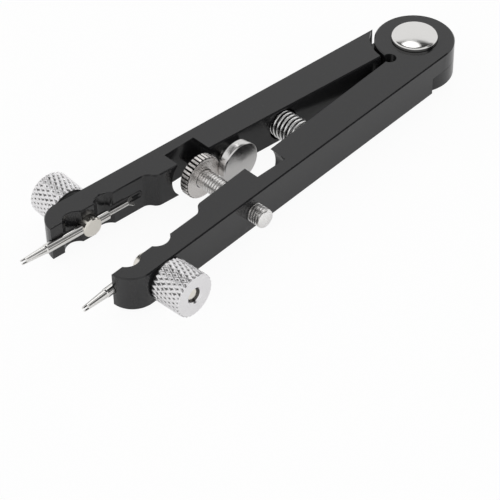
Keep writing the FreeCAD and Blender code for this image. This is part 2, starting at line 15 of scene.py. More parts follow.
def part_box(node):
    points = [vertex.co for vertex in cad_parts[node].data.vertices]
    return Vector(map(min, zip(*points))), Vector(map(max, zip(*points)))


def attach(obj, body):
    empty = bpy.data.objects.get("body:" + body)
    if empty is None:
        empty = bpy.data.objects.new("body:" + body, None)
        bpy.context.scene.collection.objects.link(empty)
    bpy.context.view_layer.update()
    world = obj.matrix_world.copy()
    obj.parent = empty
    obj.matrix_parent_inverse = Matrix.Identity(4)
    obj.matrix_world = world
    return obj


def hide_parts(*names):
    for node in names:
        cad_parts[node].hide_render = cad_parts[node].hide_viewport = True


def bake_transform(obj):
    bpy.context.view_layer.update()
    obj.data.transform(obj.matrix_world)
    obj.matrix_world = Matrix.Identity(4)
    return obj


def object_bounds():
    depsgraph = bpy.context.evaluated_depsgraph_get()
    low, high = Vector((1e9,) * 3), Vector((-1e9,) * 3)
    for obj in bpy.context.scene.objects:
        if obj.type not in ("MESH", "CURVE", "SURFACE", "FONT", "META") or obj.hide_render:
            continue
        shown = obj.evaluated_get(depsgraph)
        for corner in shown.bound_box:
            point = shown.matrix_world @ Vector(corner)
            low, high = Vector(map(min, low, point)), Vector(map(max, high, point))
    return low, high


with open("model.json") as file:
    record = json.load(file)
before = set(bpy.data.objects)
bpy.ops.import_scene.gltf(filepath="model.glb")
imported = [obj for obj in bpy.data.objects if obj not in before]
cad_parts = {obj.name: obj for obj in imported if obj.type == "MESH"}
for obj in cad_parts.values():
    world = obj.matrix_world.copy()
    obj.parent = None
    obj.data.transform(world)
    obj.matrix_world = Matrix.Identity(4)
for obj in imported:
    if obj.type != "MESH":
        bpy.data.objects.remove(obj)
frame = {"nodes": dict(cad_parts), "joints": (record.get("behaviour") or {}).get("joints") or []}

CAD_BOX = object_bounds()
LOG = logging.getLogger("pliers")
MM = 0.001
FULL_TURN = 2 * math.pi
CLEAN_DISTANCE = 1e-4
NO_LIMIT = 1000.0
THREAD_DEEP = 0.52
THREAD_CREST = 0.5
THREAD_ROOT = 0.12
DOME_BRIM = 0.92
Color = tuple[float, float, float]
Profile = list[tuple[float, float]]


class Side(Enum):
    """The two arms, by the side that their tips are on."""

    RIGHT = "right"
    LEFT = "left"


class Slot(Enum):
    """The record's material slots."""

    BLACK = "black_body"
    BRIGHT = "bright_hardware"
    KNURL = "knurled_nickel"
    SPRING = "spring_steel"
    TIP = "tip_steel"


def joint(name: str) -> dict:
    """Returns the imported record's joint of that name."""
    return next(entry for entry in frame["joints"] if entry["name"] == name)


@dataclass(frozen=True)
class Axis:
    """A line in space that a round piece is built on, local +Z along it, in millimetres."""

    origin: Vector
    direction: Vector

    def matrix(self, roll: float = 0.0) -> Matrix:
        """Returns the transform from local millimetres to metres in the row frame.

        Args:
            roll: Turn about the axis, in degrees.

        Returns:
            The matrix, with local X level wherever the axis is not upright.
        """
        along = self.direction.normalized()
        level = Vector((0, 0, 1)).cross(along)
        across = level.normalized() if level.length > CLEAN_DISTANCE else Vector((1, 0, 0))
        basis = Matrix((across, along.cross(across), along)).transposed().to_4x4()
        turn = Matrix.Rotation(math.radians(roll), 4, "Z")
        return Matrix.Translation(self.origin) @ basis @ turn @ Matrix.Scale(MM, 4)

    def at(self, distance: float) -> Vector:
        """Returns the point that many millimetres along the axis, in metres."""
        return self.origin + self.direction.normalized() * distance * MM


def node_middle(name: str) -> Vector:
    """Returns the middle of a CAD node's box."""
    low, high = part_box(name)
    return (Vector(low) + Vector(high)) / 2


def clamp_axis(side: Side) -> Axis:
    """Finds the line from the middle of the tool through an arm's clamp, outwards.

    Args:
        side: The arm.

    Returns:
        The axis, starting where it is nearest to the pivot line.
    """
    turn = joint(side.value + "_nut_turn")
    outward = Vector(turn["axis"]).normalized()
    point = Vector(turn["pos_m"])
    return Axis(point - outward * outward.dot(point), outward)


class NodePad:
    """Adds and wires the nodes of one node tree."""

    def __init__(self, tree: bpy.types.NodeTree) -> None:
        """Takes the tree that the nodes go into."""
        self.tree = tree

    def add(self, kind: str, inputs: dict | None = None, **settings) -> bpy.types.Node:
        """Adds a node.

        Args:
            kind: The node's type name.
            inputs: Values or sockets for its inputs, by name or number.
            settings: The node's own properties.

        Returns:
            The new node.
        """
        node = self.tree.nodes.new(kind)
        for name, value in settings.items():
            setattr(node, name, value)
        for name, value in (inputs or {}).items():
            if isinstance(value, bpy.types.NodeSocket):
                self.tree.links.new(value, node.inputs[name])
            else:
                node.inputs[name].default_value = value
        return node

    def math(self, operation: str, *values) -> bpy.types.NodeSocket:
        """Adds a Math node on those values or sockets and returns its result."""
        return self.add("ShaderNodeMath", dict(enumerate(values)), operation=operation).outputs[0]

    def spread(self, value: bpy.types.NodeSocket, low: float, high: float,
               start: float = 0.0, end: float = 1.0) -> bpy.types.NodeSocket:
        """Maps a value from one range to another.

        Args:
            value: The socket to map.
            low: Result at start.
            high: Result at end.
            start: Value that gives low.
            end: Value that gives high.

        Returns:
            The mapped socket.
        """
        names = {"Value": value, "From Min": start, "From Max": end, "To Min": low, "To Max": high}
        return self.add("ShaderNodeMapRange", names).outputs[0]

    def blend(self, mask: bpy.types.NodeSocket, first, second) -> bpy.types.NodeSocket:
        """Mixes two colours.

        Args:
            mask: Share of the second colour.
            first: A colour or a socket.
            second: A colour or a socket.

        Returns:
            The mixed colour's socket.
        """
        mix = self.add("ShaderNodeMix", data_type="RGBA")
        self.tree.links.new(mask, mix.inputs[0])
        for number, color in ((6, first), (7, second)):
            if isinstance(color, bpy.types.NodeSocket):
                self.tree.links.new(color, mix.inputs[number])
            else:
                mix.inputs[number].default_value = (*color, 1)
        return mix.outputs[2]


def start_group(name: str, inputs: dict[str, tuple], outputs: dict[str, str]) -> tuple:
    """Starts a shader node group.

    Args:
        name: The group's name.
        inputs: Default value by input name; a tuple makes a vector socket.
        outputs: Socket kind by output name.

    Returns:
        The tree, a pad on it, its input node and its output node.
    """
    tree = bpy.data.node_groups.new(name, "ShaderNodeTree")
    for label, value in inputs.items():
        kind = "NodeSocketVector" if isinstance(value, tuple) else "NodeSocketFloat"
        tree.interface.new_socket(label, in_out="INPUT", socket_type=kind).default_value = value
    for label, kind in outputs.items():
        tree.interface.new_socket(label, in_out="OUTPUT", socket_type=kind)
    pad = NodePad(tree)
    return tree, pad, pad.add("NodeGroupInput"), pad.add("NodeGroupOutput")


@cache
def grain_group() -> bpy.types.NodeTree:
    """Builds the fine unevenness of a surface's gloss and height.

    Returns:
        The node group.
    """
    tree, pad, given, result = start_group(
        "fine grain", {"Vector": (0, 0, 0), "Size": 0.0005, "Smooth": 0.1, "Dull": 0.2},
        {"Roughness": "NodeSocketFloat", "Height": "NodeSocketFloat"})
    scale = pad.math("DIVIDE", 1.0, given.outputs["Size"])
    fine = pad.add("ShaderNodeTexNoise", {
        "Vector": given.outputs["Vector"], "Scale": scale, "Detail": 3.0, "Roughness": 0.6})
    broad = pad.add("ShaderNodeTexNoise", {
        "Vector": given.outputs["Vector"], "Scale": pad.math("MULTIPLY", scale, 0.08),
        "Detail": 2.0})
    mixed = pad.math("MULTIPLY", pad.math("ADD", fine.outputs[0], broad.outputs[0]), 0.5)
    span = pad.add("ShaderNodeMapRange", {
        "Value": mixed, "From Min": 0.35, "From Max": 0.65,
        "To Min": given.outputs["Smooth"], "To Max": given.outputs["Dull"]})
    pad.tree.links.new(span.outputs[0], result.inputs["Roughness"])
    pad.tree.links.new(fine.outputs[0], result.inputs["Height"])
    return tree


def from_axis(pad: NodePad, given: bpy.types.Node) -> tuple:
    """Measures a point from an axis inside a node group.

    Args:
        pad: The group's nodes.
        given: The group's input node, with Vector, Centre and Axis.

    Returns:
        The sockets for the distance from the axis and the distance along it.
    """
    arm = pad.add("ShaderNodeVectorMath", {
        0: given.outputs["Vector"], 1: given.outputs["Centre"]}, operation="SUBTRACT")
    lever = pad.add("ShaderNodeVectorMath", {
        0: arm.outputs[0], 1: given.outputs["Axis"]}, operation="CROSS_PRODUCT")
    radius = pad.add("ShaderNodeVectorMath", {0: lever.outputs[0]}, operation="LENGTH")
    along = pad.add("ShaderNodeVectorMath", {
        0: arm.outputs[0], 1: given.outputs["Axis"]}, operation="DOT_PRODUCT")
    return radius.outputs["Value"], along.outputs["Value"]


@cache
def rings_group() -> bpy.types.NodeTree:
    """Builds the fine circular marks that turning leaves round an axis.

    Returns:
        The node group.
    """
    tree, pad, given, result = start_group(
        "turning marks",
        {"Vector": (0, 0, 0), "Centre": (0, 0, 0), "Axis": (0, 0, 1), "Pitch": 0.0001},
        {"Height": "NodeSocketFloat"})
    radius, along = from_axis(pad, given)
    travel = pad.math("ADD", radius, along)
    marks = pad.add("ShaderNodeTexNoise", {
        "W": pad.math("DIVIDE", travel, given.outputs["Pitch"]), "Scale": 1.0, "Detail": 3.0},
        noise_dimensions="1D")
    pad.tree.links.new(marks.outputs[0], result.inputs["Height"])
    return tree


@cache
def dust_group() -> bpy.types.NodeTree:
    """Builds the sparse pale specks that lie on a surface.

    Returns:
        The node group.
    """
    tree, pad, given, result = start_group(
        "dust specks", {"Vector": (0, 0, 0), "Size": 0.0006, "Cover": 0.1},
        {"Mask": "NodeSocketFloat"})
    cells = pad.add("ShaderNodeTexVoronoi", {
        "Vector": given.outputs["Vector"],
        "Scale": pad.math("DIVIDE", 1.0, given.outputs["Size"])})
    patches = pad.add("ShaderNodeTexNoise", {
        "Vector": given.outputs["Vector"],
        "Scale": pad.math("DIVIDE", 0.1, given.outputs["Size"]), "Detail": 2.0})
    speck = pad.math("LESS_THAN", cells.outputs["Distance"], given.outputs["Cover"])
    pad.tree.links.new(
        pad.math("MULTIPLY", speck, pad.spread(patches.outputs[0], 0.0, 1.0, 0.45, 0.6)),
        result.inputs["Mask"])
    return tree


@cache
def hollow_shade_group() -> bpy.types.NodeTree:
    """Builds the painted shade that darkens a thread or knurl below its crests.

    Returns:
        The node group.
    """
    tree, pad, given, result = start_group(
        "grime in hollows",
        {"Vector": (0, 0, 0), "Centre": (0, 0, 0), "Axis": (0, 0, 1), "Crest": 0.0025,
         "Root": 0.002, "Low": 0.0, "High": 1.0},
        {"Mask": "NodeSocketFloat"})
    radius, along = from_axis(pad, given)
    # Painted shade: the mask rises from the crest radius to the root radius, so the hollows come
    # out dark.
    mask = pad.add("ShaderNodeMapRange", {
        "Value": radius, "From Min": given.outputs["Crest"],
        "From Max": given.outputs["Root"]}, interpolation_type="SMOOTHSTEP")
    above = pad.math("GREATER_THAN", along, given.outputs["Low"])
    below = pad.math("LESS_THAN", along, given.outputs["High"])
    inside = pad.math("MULTIPLY", above, below)
    pad.tree.links.new(pad.math("MULTIPLY", mask.outputs[0], inside), result.inputs["Mask"])
    return tree


def start_material(name: str, metallic: float, **plain) -> tuple:
    """Starts a material with a Principled shader.

    Args:
        name: The material's name.
        metallic: Its metallic value.
        plain: Other constant sockets, with underscores for spaces.

    Returns:
        The material, a pad on its tree, its shader and its object coordinates.
    """
    material = bpy.data.materials.new(name)
    material.use_nodes = True
    pad = NodePad(material.node_tree)
    shader = material.node_tree.nodes["Principled BSDF"]
    shader.inputs["Metallic"].default_value = metallic
    for socket, value in plain.items():
        shader.inputs[socket.replace("_", " ")].default_value = value
    where = pad.add("ShaderNodeTexCoord").outputs["Object"]
    return material, pad, shader, where


@dataclass(frozen=True)
class GlossBlack:
    """Black enamel with a slight ripple and a few specks of dust."""

    name: str = "gloss black enamel"
    color: Color = (0.017, 0.017, 0.018)
    dust_color: Color = (0.12, 0.12, 0.12)
    dust_cover: float = 0.07
    smooth: float = 0.10
    dull: float = 0.20
    ripple: float = 0.025

    @cache
    def material(self) -> bpy.types.Material:
        """Builds the material once.

        Returns:
            The material.
        """
        material, pad, shader, where = start_material(self.name, 0.0, IOR=1.5)
        grain = pad.add("ShaderNodeGroup", {
            "Vector": where, "Smooth": self.smooth, "Dull": self.dull}, node_tree=grain_group())
        dust = pad.add("ShaderNodeGroup", {
            "Vector": where, "Cover": self.dust_cover}, node_tree=dust_group())
        color = pad.blend(dust.outputs["Mask"], self.color, self.dust_color)
        pad.tree.links.new(color, shader.inputs["Base Color"])
        pad.tree.links.new(grain.outputs["Roughness"], shader.inputs["Roughness"])
        bump = pad.add("ShaderNodeBump", {
            "Strength": self.ripple, "Distance": 0.0005, "Height": grain.outputs["Height"]})
        pad.tree.links.new(bump.outputs[0], shader.inputs["Normal"])
        return material


@dataclass(frozen=True)
class PaintedShade:
    """Painted shade in the hollows of a thread or knurl, in millimetres from the piece's axis."""

    crest: float
    root: float
    low: float = 0.0
    high: float = NO_LIMIT
    # Near-black colour of the painted shade.
    color: Color = (0.03, 0.028, 0.026)


@dataclass(frozen=True)
class BrightMetal:
    """Plated or polished metal with the marks of turning round its axis."""

    name: str
    axis: Axis
    color: Color = (0.80, 0.79, 0.775)
    smooth: float = 0.10
    dull: float = 0.22
    marks: float = 0.10
    pitch: float = 0.00012
    cloud: float = 0.93
    # Optional painted shade in the hollows of a thread or knurl.
    painted_shade: PaintedShade | None = None

    def material(self) -> bpy.types.Material:
        """Builds the material.

        Returns:
            The material.
        """
        material, pad, shader, where = start_material(self.name, 1.0)
        line = {"Vector": where, "Centre": self.axis.origin,
                "Axis": self.axis.direction.normalized()}
        grain = pad.add("ShaderNodeGroup", {
            "Vector": where, "Smooth": self.smooth, "Dull": self.dull}, node_tree=grain_group())
        rings = pad.add("ShaderNodeGroup", {**line, "Pitch": self.pitch},
                        node_tree=rings_group())
        clouded = tuple(self.cloud * part for part in self.color)
        color = pad.blend(grain.outputs["Height"], self.color, clouded)
        # Painted shade: the base colour darkens towards the roots of the hollows.
        if self.painted_shade:
            hollow = pad.add("ShaderNodeGroup", {
                **line, "Crest": self.painted_shade.crest * MM, "Root": self.painted_shade.root * MM,
                "Low": self.painted_shade.low * MM, "High": self.painted_shade.high * MM},
                node_tree=hollow_shade_group())
            color = pad.blend(hollow.outputs["Mask"], color, self.painted_shade.color)
        pad.tree.links.new(color, shader.inputs["Base Color"])
        pad.tree.links.new(grain.outputs["Roughness"], shader.inputs["Roughness"])
        bump = pad.add("ShaderNodeBump", {
            "Strength": self.marks, "Distance": 0.0001, "Height": rings.outputs["Height"]})
        pad.tree.links.new(bump.outputs[0], shader.inputs["Normal"])
        return material


def thread_painted_shade(radius: float, end: float) -> PaintedShade:
    """Works out where the painted shade lies in a stud's thread.

    Args:
        radius: Outside of the thread.
        end: Height at which the stud's dome starts.

    Returns:
        The grime.
    """
    return PaintedShade(radius - 0.28, radius - 0.42, high=end - 0.3)


@dataclass(frozen=True)
class BlackSteel:
    """Blackened steel, duller than the enamel."""

    name: str = "blackened steel"
    color: Color = (0.012, 0.012, 0.012)
    worn_color: Color = (0.0192, 0.0192, 0.0192)
    smooth: float = 0.3
    dull: float = 0.45

    @cache
    def material(self) -> bpy.types.Material:
        """Builds the material once.

        Returns:
            The material.
        """
        material, pad, shader, where = start_material(self.name, 0.0, IOR=1.5)
        grain = pad.add("ShaderNodeGroup", {
            "Vector": where, "Smooth": self.smooth, "Dull": self.dull}, node_tree=grain_group())
        color = pad.blend(grain.outputs["Height"], self.color, self.worn_color)
        pad.tree.links.new(color, shader.inputs["Base Color"])
        pad.tree.links.new(grain.outputs["Roughness"], shader.inputs["Roughness"])
        return material


def lathe(profile: Profile, steps: int = 64) -> bmesh.types.BMesh:
    """Turns a profile once round the local Z axis.

    Args:
        profile: Points of (radius, height).
        steps: Steps in the turn.

    Returns:
        The mesh.
    """
    bm = bmesh.new()
    points = [bm.verts.new((radius, 0, height)) for radius, height in profile]
    lines = [bm.edges.new(pair) for pair in zip(points, points[1:])]
    bmesh.ops.spin(
        bm, geom=points + lines, cent=(0, 0, 0), axis=(0, 0, 1), dvec=(0, 0, 0),
        angle=FULL_TURN, steps=steps, use_merge=True, use_duplicate=False)
    close_up(bm)
    return bm


def dome_points(rim: float, rise: float, top: float, radii: list[float]) -> Profile:
    """Works out the profile of a shallow dome.

    Args:
        rim: Radius of the dome at its foot.
        rise: Height of the dome.
        top: Height of its crown.
        radii: Radii of the points.

    Returns:
        The points of (radius, height).
    """
    ball = (rim ** 2 + rise ** 2) / (2 * rise)
    return [(radius, top - ball + math.sqrt(ball ** 2 - radius ** 2)) for radius in radii]


def close_up(bm: bmesh.types.BMesh) -> None:
    """Merges doubled vertices and points every face outwards.

    Args:
        bm: The mesh, changed in place.
    """
    bmesh.ops.remove_doubles(bm, verts=bm.verts[:], dist=CLEAN_DISTANCE)
    bmesh.ops.recalc_face_normals(bm, faces=bm.faces[:])
    if bm.calc_volume(signed=True) < 0:
        bmesh.ops.reverse_faces(bm, faces=bm.faces[:])


def round_edges(bm: bmesh.types.BMesh, width: float, over: float = 25.0,
                segments: int = 2) -> None:
    """Bevels every edge that turns by more than an angle.

    Args:
        bm: The mesh.
        width: Width of the bevel in the mesh's own unit.
        over: Smallest angle in degrees.
        segments: Steps across the bevel.
    """
    limit = math.radians(over)
    sharp = [edge for edge in bm.edges
             if len(edge.link_faces) == 2 and edge.calc_face_angle(0) > limit]
    bmesh.ops.bevel(bm, geom=sharp, offset=width, offset_type="OFFSET", affect="EDGES",
                    segments=segments, profile=0.5, material=-1, clamp_overlap=True)


def thread(radius: float, pitch: float, start: float, end: float,
           steps: int = 36) -> bmesh.types.BMesh:
    """Cuts a threaded rod on the local Z axis.

    Args:
        radius: Outside of the thread.
        pitch: Distance between two turns.
        start: Height of the lower end.
        end: Height of the upper end.
        steps: Steps in one turn.

    Returns:
        The closed mesh.
    """
    deep = THREAD_DEEP * pitch
    crest, root = THREAD_CREST * pitch, THREAD_ROOT * pitch
    flank = (pitch - crest - root) / 2
    bm = bmesh.new()
    low = start - 2 * pitch
    heights = [0, crest, crest + flank, crest + flank + root, pitch]
    radii = [radius, radius, radius - deep, radius - deep, radius]
    points = [bm.verts.new((r, 0, low + h)) for r, h in zip(radii, heights)]
    lines = [bm.edges.new(pair) for pair in zip(points, points[1:])]
    turns = math.ceil((end - start) / pitch) + 4
    bmesh.ops.spin(
        bm, geom=points + lines, cent=(0, 0, 0), axis=(0, 0, 1), dvec=(0, 0, pitch / steps),
        angle=FULL_TURN * turns, steps=steps * turns, use_merge=False, use_duplicate=False)
    bmesh.ops.remove_doubles(bm, verts=bm.verts[:], dist=CLEAN_DISTANCE)
    for height, normal in ((start, -1), (end, 1)):
        cut = bmesh.ops.bisect_plane(
            bm, geom=bm.verts[:] + bm.edges[:] + bm.faces[:], dist=1e-6,
            plane_co=(0, 0, height), plane_no=(0, 0, normal), clear_outer=True)
        rim = [item for item in cut["geom_cut"] if isinstance(item, bmesh.types.BMEdge)]
        bmesh.ops.contextual_create(bm, geom=rim)
    close_up(bm)
    return bm


def threaded_stud(radius: float, pitch: float, length: float,
                  dome: float) -> bmesh.types.BMesh:
    """Makes a threaded stud with a smooth domed end.

    Args:
        radius: Outside of the thread.
        pitch: Distance between two turns.
        length: Length of the whole stud, from 0 up the local Z axis.
        dome: Height of the dome on the upper end.

    Returns:
        The closed mesh.
    """
    brim = DOME_BRIM * radius
    cap = dome_points(brim, dome, length, [brim * (1 - step / 8) for step in range(9)])
    foot = length - dome - 0.45
    shoulder = (0.97 * radius, length - dome - 0.15)
    core = 0.75 * radius
    bm = thread(radius, pitch, 0, foot + 0.1)
    end = lathe([(0, foot - 0.3), (core, foot - 0.3), (core, foot), shoulder, *cap])
    carve(bm, end, "UNION")
    return bm


def coil(radius: float, wire: float, length: float, turns: float, closed: float = 1.0,
         steps: int = 32, sides: int = 12) -> bmesh.types.BMesh:
    """Winds a compression spring from 0 up the local Z axis.

    Args:
        radius: Outside of the coil.
        wire: Thickness of the wire.
        length: Length of the whole spring.
        turns: Open turns between the closed ends.
        closed: Turns that lie against each other at each end.
        steps: Steps in one turn.
        sides: Sides of the wire.

    Returns:
        The closed mesh.
    """
    bm = bmesh.new()
    middle = radius - wire / 2
    place = Matrix.Translation((middle, 0, wire / 2)) @ Matrix.Rotation(math.pi / 2, 4, "X")
    ring = bmesh.ops.create_circle(
        bm, cap_ends=False, segments=sides, radius=wire / 2, matrix=place)["verts"]
    first = list({edge for vert in ring for edge in vert.link_edges})
    last, shut = first, wire * 1.01
    rise = length - wire - 2 * closed * shut
    for count, pitch in ((closed, shut), (turns, rise / turns), (closed, shut)):
        moves = round(count * steps)
        result = bmesh.ops.spin(
            bm, geom=last + list({v for e in last for v in e.verts}), cent=(0, 0, 0),
            axis=(0, 0, 1), dvec=(0, 0, pitch * count / moves),
            angle=FULL_TURN * count, steps=moves, use_merge=False, use_duplicate=False)
        last = [item for item in result["geom_last"] if isinstance(item, bmesh.types.BMEdge)]
    for rim in (first, last):
        bmesh.ops.contextual_create(bm, geom=rim)
    close_up(bm)
    return bm


def carve(body: bmesh.types.BMesh, tool: bmesh.types.BMesh,
          operation: str = "DIFFERENCE") -> None:
    """Cuts a closed tool out of a closed body, or joins it on.

    Args:
        body: The body, changed in place.
        tool: The tool, freed here.
        operation: DIFFERENCE to cut, UNION to join.
    """
    things = []
    for bm in (body, tool):
        mesh = bpy.data.meshes.new("carving")
        bm.to_mesh(mesh)
        thing = bpy.data.objects.new("carving", mesh)
        bpy.context.scene.collection.objects.link(thing)
        things.append(thing)
    knife = things[0].modifiers.new("cut", "BOOLEAN")
    knife.operation, knife.solver, knife.object = operation, "MANIFOLD", things[1]
    graph = bpy.context.evaluated_depsgraph_get()
    result = bpy.data.meshes.new_from_object(things[0].evaluated_get(graph))
    body.clear()
    body.from_mesh(result)
    tool.free()
    bpy.data.meshes.remove(result)
    for thing in things:
        mesh = thing.data
        bpy.data.objects.remove(thing)
        bpy.data.meshes.remove(mesh)


def bar(size: tuple[float, float, float],
        middle: tuple[float, float, float]) -> bmesh.types.BMesh:
    """Makes a straight bar, as a tool.

    Args:
        size: Its size along X, Y and Z.
        middle: Its middle.

    Returns:
        The mesh.
    """
    bm = bmesh.new()
    bmesh.ops.create_cube(
        bm, size=1.0, matrix=Matrix.Translation(middle) @ Matrix.Diagonal((*size, 1)))
    return bm


def finish_piece(name: str, bm: bmesh.types.BMesh, body: str,
                 material: bpy.types.Material, stands_for: tuple[str, ...],
                 smooth: float = 32.0) -> bpy.types.Object:
    """Makes an object of a finished mesh and puts it on its body.

    Args:
        name: The piece's name.
        bm: Its mesh in metres, in the row frame; freed here.
        body: The body that it rides on.
        material: Its finish.
        stands_for: The CAD nodes that it replaces.
        smooth: Angle in degrees below which edges are shaded smooth.

    Returns:
        The object.
    """
    mesh = bpy.data.meshes.new(name)
    bm.to_mesh(mesh)
    bm.free()
    mesh.polygons.foreach_set("use_smooth", [True] * len(mesh.polygons))
    mesh.set_sharp_from_angle(angle=math.radians(smooth))
    mesh.materials.append(material)
    piece = bpy.data.objects.new(name, mesh)
    bpy.context.scene.collection.objects.link(piece)
    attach(piece, body)
    if stands_for:
        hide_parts(*stands_for)
    LOG.info("%s: %d faces on %s", name, len(mesh.polygons), body)
    return piece


def cad_copy(node: str, flat: float = 0.3) -> bmesh.types.BMesh:
    """Copies a CAD node's mesh and joins up its flat areas.

    Args:
        node: The CAD node.
        flat: Angle in degrees below which neighbours are joined.

    Returns:
        The merged copy.
    """
    bm = bmesh.new()
    bm.from_mesh(frame["nodes"][node].data)
    bmesh.ops.remove_doubles(bm, verts=bm.verts[:], dist=1e-7)
    bmesh.ops.dissolve_limit(bm, angle_limit=math.radians(flat), verts=bm.verts[:],
                             edges=bm.edges[:])
    return bm


def dress(node: str, material: bpy.types.Material) -> None:
    """Gives a CAD node that stays as it is a finish.

    Args:
        node: The CAD node.
        material: Its finish.
    """
    thing = frame["nodes"][node]
    thing.data.materials.clear()
    thing.data.materials.append(material)
    LOG.info("%s: dressed", node)


@dataclass
class Arm:
    """One arm of the tool."""

    side: Side

    def build(self) -> None:
        """Builds the enamelled arm."""
        name = self.side.value + "_arm"
        piece = finish_piece(name + "_enamel", cad_copy(name), name,
                             GlossBlack().material(), (name,), smooth=26.0)
        weigh = piece.modifiers.new("flat faces stay flat", "WEIGHTED_NORMAL")
        weigh.keep_sharp, weigh.weight = True, 100


@dataclass
class Pivot:
    """The domed pivot screw with its nut, washer and bush."""

    shoulder: float = 3.0
    head: float = 6.05
    rim: float = 1.65
    dome: float = 0.65
    edge: float = 0.25
    thread: float = 2.0
    nut: float = 1.9

    def screw(self) -> bmesh.types.BMesh:
        """Turns the screw.

        Returns:
            The closed mesh, foot at 0.
        """
        low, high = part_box("pivot_screw")
        top = (high[2] - low[2]) / MM
        shoulder_top = top - self.dome - self.rim
        crown = [(self.head - self.edge) * (1 - step / 12) for step in range(13)]
        profile = [(0, 0), (self.thread, 0), (self.thread, self.nut), (self.shoulder, self.nut),
                   (self.shoulder, shoulder_top), (self.head, shoulder_top),
                   (self.head, top - self.dome - self.edge),
                   *dome_points(self.head, self.dome, top, crown)]
        return lathe(profile, 96)

    def build(self) -> None:
        """Builds the screw and dresses the pieces under it."""
        low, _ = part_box("pivot_screw")
        axis = Axis(Vector((0, 0, low[2])), Vector((0, 0, 1)))
        bm = self.screw()
        round_edges(bm, 0.05)
        bm.transform(axis.matrix())
        steel = BrightMetal("pivot screw polish", axis, smooth=0.06, dull=0.14, marks=0.03)
        finish_piece("pivot_screw_polished", bm, "right_arm", steel.material(),
                     ("pivot_screw",))
        dress("pivot_nut", BrightMetal("pivot nut steel", axis).material())
        dress("pivot_washer", BrightMetal(
            "plain steel", axis, (0.6, 0.6, 0.6), 0.25, 0.4).material())
        dress("pivot_bush", BrightMetal(
            "turned brass", axis, (0.75, 0.56, 0.25), 0.2, 0.35).material())


@dataclass
class WheelStop:
    """The knurled wheel on its threaded cross stud."""

    radius: float = 5.75
    chamfer: float = 0.3
    teeth: int = 32
    tooth_deep: float = 0.5
    stud: float = 2.5
    pitch: float = 0.8
    dome: float = 0.6
    bore: float = 2.53
    bore_deep: float = 2.0
    bore_edge: float = 0.15

    def axis(self) -> Axis:
        """Finds the stud's axis.

        Returns:
            The axis, from the stud's inner end outwards to the right.
        """
        low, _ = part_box("wheel_stud")
        middle = node_middle("wheel_stud")
        return Axis(Vector((low[0], middle.y, middle.z)), Vector((1, 0, 0)))

    def wheel(self) -> tuple[bmesh.types.BMesh, Axis]:
        """Makes the wheel with its straight knurl.

        Returns:
            The mesh, front face at 0 and looking down, and the wheel's axis.
        """
        low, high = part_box("knurled_wheel")
        thick = (high[0] - low[0]) / MM
        middle = node_middle("knurled_wheel")
        axis = Axis(Vector((high[0], middle.y, middle.z)), Vector((-1, 0, 0)))
        inner, steps = self.radius - self.chamfer, 4 * self.teeth
        bm = lathe([(self.bore, self.bore_deep), (self.bore, self.bore_edge),
                    (self.bore + self.bore_edge, 0), (inner, 0), (self.radius, self.chamfer),
                    (self.radius, thick - self.chamfer), (inner, thick), (0, thick)], steps)
        root = 1 - self.tooth_deep / self.radius
        for vert in bm.verts:
            if math.hypot(vert.co.x, vert.co.y) > self.radius - 1e-3:
                place = round(math.atan2(vert.co.y, vert.co.x) / FULL_TURN * steps)
                if place % 4 == 0:
                    vert.co.x *= root
                    vert.co.y *= root
        hole = [edge for edge in bm.edges if edge.is_boundary]
        bmesh.ops.contextual_create(bm, geom=hole)
        close_up(bm)
        return bm, axis

    def build(self) -> None:
        """Builds the stud and the wheel."""
        axis = self.axis()
        low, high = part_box("wheel_stud")
        length = (high[0] - low[0]) / MM
        rod = threaded_stud(self.stud, self.pitch, length, self.dome)
        rod.transform(axis.matrix())
        # Painted shade darkens the thread roots.
        nickel = BrightMetal("wheel stud nickel", axis, (0.9, 0.89, 0.88), 0.2, 0.3,
                             painted_shade=thread_painted_shade(self.stud, length - self.dome))
        finish_piece("wheel_stud_threaded", rod, "wheel_stud",
                     nickel.material(), ("wheel_stud",))
        bm, axis = self.wheel()
        bm.transform(axis.matrix())
        # Painted shade in the grooves of the straight knurl.
        painted_shade = PaintedShade(self.radius - 0.04, self.radius - 0.22, low=0.05)
        nickel = BrightMetal("knurled wheel nickel", axis, (0.82, 0.79, 0.77), 0.14, 0.24, 0.5,
                             painted_shade=painted_shade)
        finish_piece("knurled_wheel_turned", bm, "knurled_wheel",
                     nickel.material(), ("knurled_wheel",))


@dataclass
class DiscStop:
    """The smooth disc on its cross stud."""

    radius: float = 5.75
    chamfer: float = 0.3
    stud: float = 2.5
    pitch: float = 0.8
    dome: float = 0.6
    slot_wide: float = 0.8
    slot_deep: float = 0.9
    bore: float = 2.53
    bore_deep: float = 2.0
    bore_edge: float = 0.15

    def build(self) -> None:
        """Builds the disc and its stud."""
        low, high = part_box("smooth_disc")
        thick = (high[0] - low[0]) / MM
        middle = node_middle("smooth_disc")
        axis = Axis(Vector((low[0], middle.y, middle.z)), Vector((1, 0, 0)))
        inner = self.radius - self.chamfer
        bm = lathe([(0, self.bore_deep), (self.bore, self.bore_deep),
                    (self.bore, self.bore_edge), (self.bore + self.bore_edge, 0), (inner, 0),
                    (self.radius, self.chamfer), (self.radius, thick - self.chamfer),
                    (inner, thick), (0, thick)], 96)
        round_edges(bm, 0.06)
        bm.transform(axis.matrix())
        polish = BrightMetal("disc polish", axis, (0.74, 0.73, 0.72), 0.18, 0.26, 0.25)
        finish_piece("smooth_disc_polished", bm, "smooth_disc",
                     polish.material(), ("smooth_disc",))
        low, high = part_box("disc_stud")
        length = (high[0] - low[0]) / MM
        axis = Axis(Vector((high[0], middle.y, middle.z)), Vector((-1, 0, 0)))
        rod = threaded_stud(self.stud, self.pitch, length, self.dome)
        carve(rod, bar((self.slot_wide, 6 * self.stud, 2 * self.slot_deep), (0, 0, length)))
        rod.transform(axis.matrix())
        # Painted shade darkens the thread roots.
        nickel = BrightMetal("disc stud nickel", axis,
                             painted_shade=thread_painted_shade(self.stud, length - self.dome))
        finish_piece("disc_stud_threaded", rod, "disc_stud",
                     nickel.material(), ("disc_stud",))


